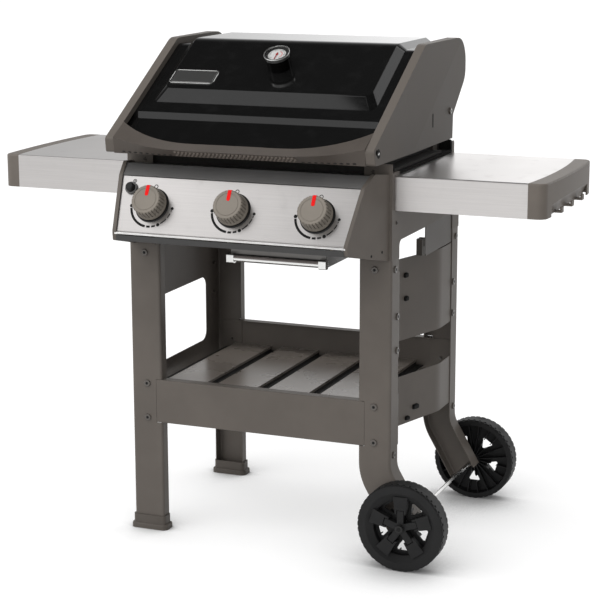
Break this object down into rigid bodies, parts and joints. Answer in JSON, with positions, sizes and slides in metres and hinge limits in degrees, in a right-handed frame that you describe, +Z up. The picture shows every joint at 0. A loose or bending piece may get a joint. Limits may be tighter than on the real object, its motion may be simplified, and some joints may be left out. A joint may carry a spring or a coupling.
{
  "type": "gas barbecue grill",
  "caption": "Free-standing gas barbecue grill on an open cart: hinged lid, leaning control panel with knobs, side tables, slatted shelf and wheels on one side.",
  "frame": {"origin": "floor level, below the centre of the overall box", "axes": "+X to the cook's right, +Y to the back, +Z up"},
  "size_m": [1.328, 0.7198, 1.14],
  "materials": {
    "black_enamel": "glossy porcelain enamel",
    "grey_paint": "satin taupe powder coat",
    "taupe_plastic": "fine textured moulding",
    "dark_plastic": "fine textured dark moulding",
    "brushed_steel": "brushed along its length",
    "bright_steel": "bright plated",
    "cast_alloy": "dark cast finish",
    "cast_iron": "matt enamelled iron",
    "burner_steel": "drawn tube",
    "brass": "machined",
    "wheel_plastic": "moulded",
    "knob_plastic": "satin moulding",
    "dial_white": "printed",
    "pointer_red": "painted",
    "clear_glass": "clear",
    "foil": "thin pressed foil"
  },
  "bodies": {
    "cart": {"leg_front_left": "grey_paint", "leg_rear_left": "grey_paint", "leg_front_right": "grey_paint", "leg_rear_right": "grey_paint", "shelf_front_rail": "grey_paint", "shelf_rear_rail": "grey_paint", "bottom_shelf": "grey_paint", "side_frame_right": "grey_paint", "side_frame_left": "grey_paint", "side_panel_left": "grey_paint", "cylinder_guard_upper": "grey_paint", "cylinder_guard_lower": "grey_paint", "table_brackets": "grey_paint", "feet": "dark_plastic", "cylinder_hanger": "dark_plastic", "panel_top_rail": "dark_plastic", "panel_bottom_skirt": "dark_plastic", "knob_bezels": "dark_plastic", "igniter_housing": "dark_plastic", "axle_caps": "dark_plastic", "table_end_right": "taupe_plastic", "table_end_left": "taupe_plastic", "panel_cap_right": "taupe_plastic", "panel_cap_left": "taupe_plastic", "table_top_right": "brushed_steel", "table_top_left": "brushed_steel", "control_panel": "brushed_steel", "frame_bolts": "bright_steel", "axle": "bright_steel", "warming_rack": "bright_steel", "hinge_brackets": "bright_steel", "burners": "burner_steel", "heat_bars": "burner_steel", "tray_rails": "burner_steel", "gas_manifold": "burner_steel", "cook_box": "cast_alloy", "grate_right": "cast_iron", "grate_left": "cast_iron", "gas_valves": "brass"},
    "lid": {"lid_shroud": "black_enamel", "lid_end_left": "grey_paint", "lid_end_right": "grey_paint", "lid_handle": "taupe_plastic", "thermometer_case": "bright_steel", "thermometer_dial": "dial_white", "thermometer_glass": "clear_glass"},
    "pointer": {"thermometer_pointer": "pointer_red"},
    "tray": {"grease_tray": "burner_steel", "drip_pan": "foil", "tray_handle_ends": "bright_steel", "tray_handle_bar": "dark_plastic"},
    "igniter": {"igniter_button": "dark_plastic"},
    "wheel_front": {"front_wheel": "wheel_plastic"},
    "wheel_rear": {"rear_wheel": "wheel_plastic"},
    "stem_left": {"stem_left": "bright_steel"},
    "knob_left": {"knob_left": "knob_plastic"},
    "stem_middle": {"stem_middle": "bright_steel"},
    "knob_middle": {"knob_middle": "knob_plastic"},
    "stem_right": {"stem_right": "bright_steel"},
    "knob_right": {"knob_right": "knob_plastic"}
  },
  "joints": [
    {"name": "lid_swing", "type": "hinge", "parent": "cart", "child": "lid", "pos_m": [0, 0.19936, 0.975], "axis": [-1, 0, 0], "range_deg": [0, 75]},
    {"name": "pointer_turn", "type": "hinge", "parent": "lid", "child": "pointer", "pos_m": [0, -0.04837, 1.08824], "axis": [0, 0.506, -0.8625], "range_deg": [0, 250]},
    {"name": "tray_slide", "type": "slide", "parent": "cart", "child": "tray", "axis": [0, -1, 0], "range_m": [0, 0.2]},
    {"name": "igniter_push", "type": "slide", "parent": "cart", "child": "igniter", "axis": [0, 0.8678, -0.497], "range_m": [0, 0.006], "stiffness_N_per_m": 600, "springref_m": -0.003},
    {"name": "front_wheel_spin", "type": "hinge", "parent": "cart", "child": "wheel_front", "pos_m": [0.363, -0.22163, 0.1], "axis": [0, 1, 0], "continuous": true},
    {"name": "rear_wheel_spin", "type": "hinge", "parent": "cart", "child": "wheel_rear", "pos_m": [0.363, 0.33237, 0.1], "axis": [0, 1, 0], "continuous": true},
    {"name": "stem_left_push", "type": "slide", "parent": "cart", "child": "stem_left", "axis": [0, 0.8678, -0.497], "range_m": [0, 0.003], "stiffness_N_per_m": 900, "springref_m": -0.003},
    {"name": "knob_left_turn", "type": "hinge", "parent": "stem_left", "child": "knob_left", "pos_m": [-0.196, -0.31123, 0.7993], "axis": [0, -0.8678, 0.497], "range_deg": [0, 265]},
    {"name": "stem_middle_push", "type": "slide", "parent": "cart", "child": "stem_middle", "axis": [0, 0.8678, -0.497], "range_m": [0, 0.003], "stiffness_N_per_m": 900, "springref_m": -0.003},
    {"name": "knob_middle_turn", "type": "hinge", "parent": "stem_middle", "child": "knob_middle", "pos_m": [0, -0.31123, 0.7993], "axis": [0, -0.8678, 0.497], "range_deg": [0, 265]},
    {"name": "stem_right_push", "type": "slide", "parent": "cart", "child": "stem_right", "axis": [0, 0.8678, -0.497], "range_m": [0, 0.003], "stiffness_N_per_m": 900, "springref_m": -0.003},
    {"name": "knob_right_turn", "type": "hinge", "parent": "stem_right", "child": "knob_right", "pos_m": [0.196, -0.31123, 0.7993], "axis": [0, -0.8678, 0.497], "range_deg": [0, 265]}
  ]
}
